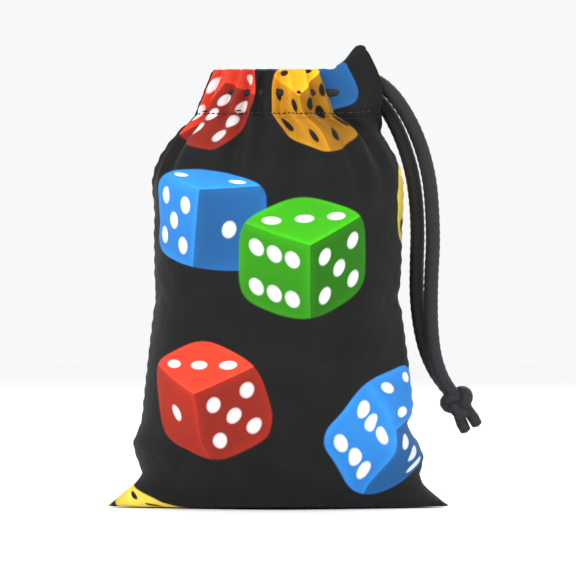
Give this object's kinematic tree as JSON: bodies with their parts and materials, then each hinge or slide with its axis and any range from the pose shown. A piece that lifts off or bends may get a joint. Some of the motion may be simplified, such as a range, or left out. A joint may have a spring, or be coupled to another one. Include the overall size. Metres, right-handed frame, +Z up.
{
  "type": "drawstring dice bag",
  "caption": "Small cloth pouch with an all-over dice print, a gathered cord casing at the mouth and a knotted drawcord hanging from one side slit.",
  "frame": {"origin": "centre of the flat base on the table", "axes": "+Z up, -Y out of the front panel, +X towards the side slit where the drawcord leaves"},
  "size_m": [0.1103, 0.054, 0.1353],
  "materials": {
    "printed_cloth": "matt black woven polyester printed all over with coloured dice",
    "cloth_reverse": "unprinted reverse of the same cloth",
    "thread": "black sewing thread",
    "cord": "black braided polyester cord"
  },
  "bodies": {
    "bag": {"front_panel": "printed_cloth", "back_panel": "printed_cloth", "left_seam_allowance": "cloth_reverse", "right_seam_allowance": "cloth_reverse", "bottom_seam_allowance": "cloth_reverse", "left_seam_stitching": "thread", "right_seam_stitching": "thread", "bottom_seam_stitching": "thread", "slit_bar_tack": "thread", "loop_bar_tack": "thread"},
    "front_lip": {"front_casing": "printed_cloth", "front_casing_stitching": "thread", "drawcord_front_run": "cord"},
    "back_lip": {"back_casing": "printed_cloth", "back_casing_stitching": "thread", "drawcord_back_run": "cord"},
    "drawcord": {"drawcord_front_strand": "cord", "drawcord_back_strand": "cord", "end_knot": "cord", "front_cord_tip": "cord", "back_cord_tip": "cord"}
  },
  "joints": [
    {"name": "drawcord_slide", "type": "slide", "parent": "bag", "child": "drawcord", "axis": [0, 0, 1], "range_m": [0, 0.045]},
    {"name": "front_lip_hinge", "type": "hinge", "parent": "bag", "child": "front_lip", "pos_m": [0, -0.027, 0.092], "axis": [1, 0, 0], "range_deg": [0, 28]},
    {"name": "back_lip_hinge", "type": "hinge", "parent": "bag", "child": "back_lip", "pos_m": [0, 0.027, 0.092], "axis": [-1, 0, 0], "range_deg": [0, 28]}
  ],
  "couplings": [
    {"joint": "front_lip_hinge", "follows": "drawcord_slide", "rad_per_m": 10.8},
    {"joint": "back_lip_hinge", "follows": "drawcord_slide", "rad_per_m": 10.8}
  ]
}
